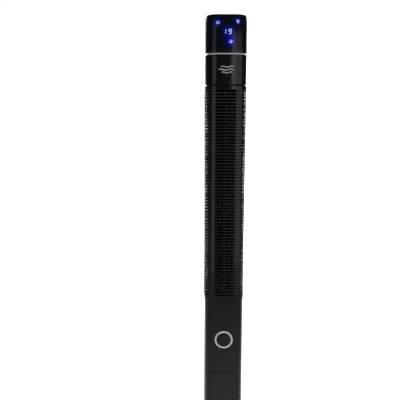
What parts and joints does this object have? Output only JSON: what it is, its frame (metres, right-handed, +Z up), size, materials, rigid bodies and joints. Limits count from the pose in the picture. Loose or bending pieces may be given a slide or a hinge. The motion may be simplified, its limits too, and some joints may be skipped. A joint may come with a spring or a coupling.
{
  "type": "tower fan",
  "caption": "Slim black tower fan: slotted full-height front grille, touch display head, bright band and ring, oscillating column on a round base.",
  "frame": {"origin": "centre of the underside of the feet, on the floor", "axes": "+Z up along the column, the grille and display face -Y, +X is to the right as the fan is seen from the front"},
  "size_m": [0.28, 0.28, 1.1235],
  "materials": {
    "gloss_black_casing": "deep gloss black moulding, soft reflections",
    "grille_black": "gloss black moulded slats",
    "inner_black": "matt black inner moulding",
    "smoked_window": "smoked window, mirror smooth, slightly blue",
    "bright_trim": "satin silver metallised trim",
    "black_rubber": "matt black rubber",
    "plated_steel": "zinc plated steel",
    "white_nylon": "natural acetal, slightly waxy",
    "circuit_board": "green solder mask",
    "blue_led": "blue light-emitting display block",
    "motor_can": "pressed steel motor can"
  },
  "bodies": {
    "base": {"base_cover": "gloss_black_casing", "base_plate": "inner_black", "base_weight": "plated_steel", "neck_column": "gloss_black_casing", "neck_lock_nut": "inner_black", "cord_inlet": "black_rubber", "base_lead": "black_rubber", "sun_gear": "white_nylon", "upper_thrust_washer": "plated_steel", "foot_pad_1": "black_rubber", "foot_pad_2": "black_rubber", "foot_pad_3": "black_rubber", "foot_pad_4": "black_rubber", "base_screw_1": "plated_steel", "base_screw_2": "plated_steel", "base_screw_3": "plated_steel", "base_screw_4": "plated_steel"},
    "tower": {"lower_front_cover": "gloss_black_casing", "upper_front_cover": "gloss_black_casing", "rear_housing": "gloss_black_casing", "head_shell": "gloss_black_casing", "front_grille": "grille_black", "display_window": "smoked_window", "ring_insert": "smoked_window", "trim_band": "bright_trim", "front_ring": "bright_trim", "turntable": "inner_black", "lower_bulkhead": "inner_black", "upper_bulkhead": "inner_black", "scroll_wall": "inner_black", "tongue_wall": "inner_black", "ioniser_module": "inner_black", "signal_receiver": "inner_black", "supply_capacitor": "inner_black", "buzzer": "inner_black", "tower_lead": "black_rubber", "head_lead": "black_rubber", "top_bearing": "black_rubber", "lower_thrust_washer": "plated_steel", "spindle_nut": "plated_steel", "power_board": "circuit_board", "display_board": "circuit_board", "digit_display": "blue_led", "power_transformer": "motor_can", "swing_motor": "motor_can", "fan_motor": "motor_can", "motor_damper_1": "black_rubber", "motor_damper_2": "black_rubber", "motor_damper_3": "black_rubber", "rear_screw_1": "plated_steel", "rear_screw_2": "plated_steel", "rear_screw_3": "plated_steel", "rear_screw_4": "plated_steel", "rear_screw_5": "plated_steel", "rear_screw_6": "plated_steel"},
    "impeller": {"impeller": "inner_black", "motor_shaft": "plated_steel", "top_stub": "plated_steel"},
    "pinion": {"drive_pinion": "white_nylon", "pinion_shaft": "plated_steel"}
  },
  "joints": [
    {"name": "oscillation", "type": "hinge", "parent": "base", "child": "tower", "pos_m": [0, 0, 0.2261], "axis": [0, 0, 1], "range_deg": [-40, 40]},
    {"name": "impeller_spin", "type": "hinge", "parent": "tower", "child": "impeller", "pos_m": [0, 0.004, 0.689], "axis": [0, 0, 1], "continuous": true},
    {"name": "pinion_spin", "type": "hinge", "parent": "tower", "child": "pinion", "pos_m": [0, 0.03, 0.2254], "axis": [0, 0, 1], "range_deg": [-162, 162]}
  ],
  "couplings": [
    {"joint": "pinion_spin", "follows": "oscillation", "ratio": 4}
  ]
}
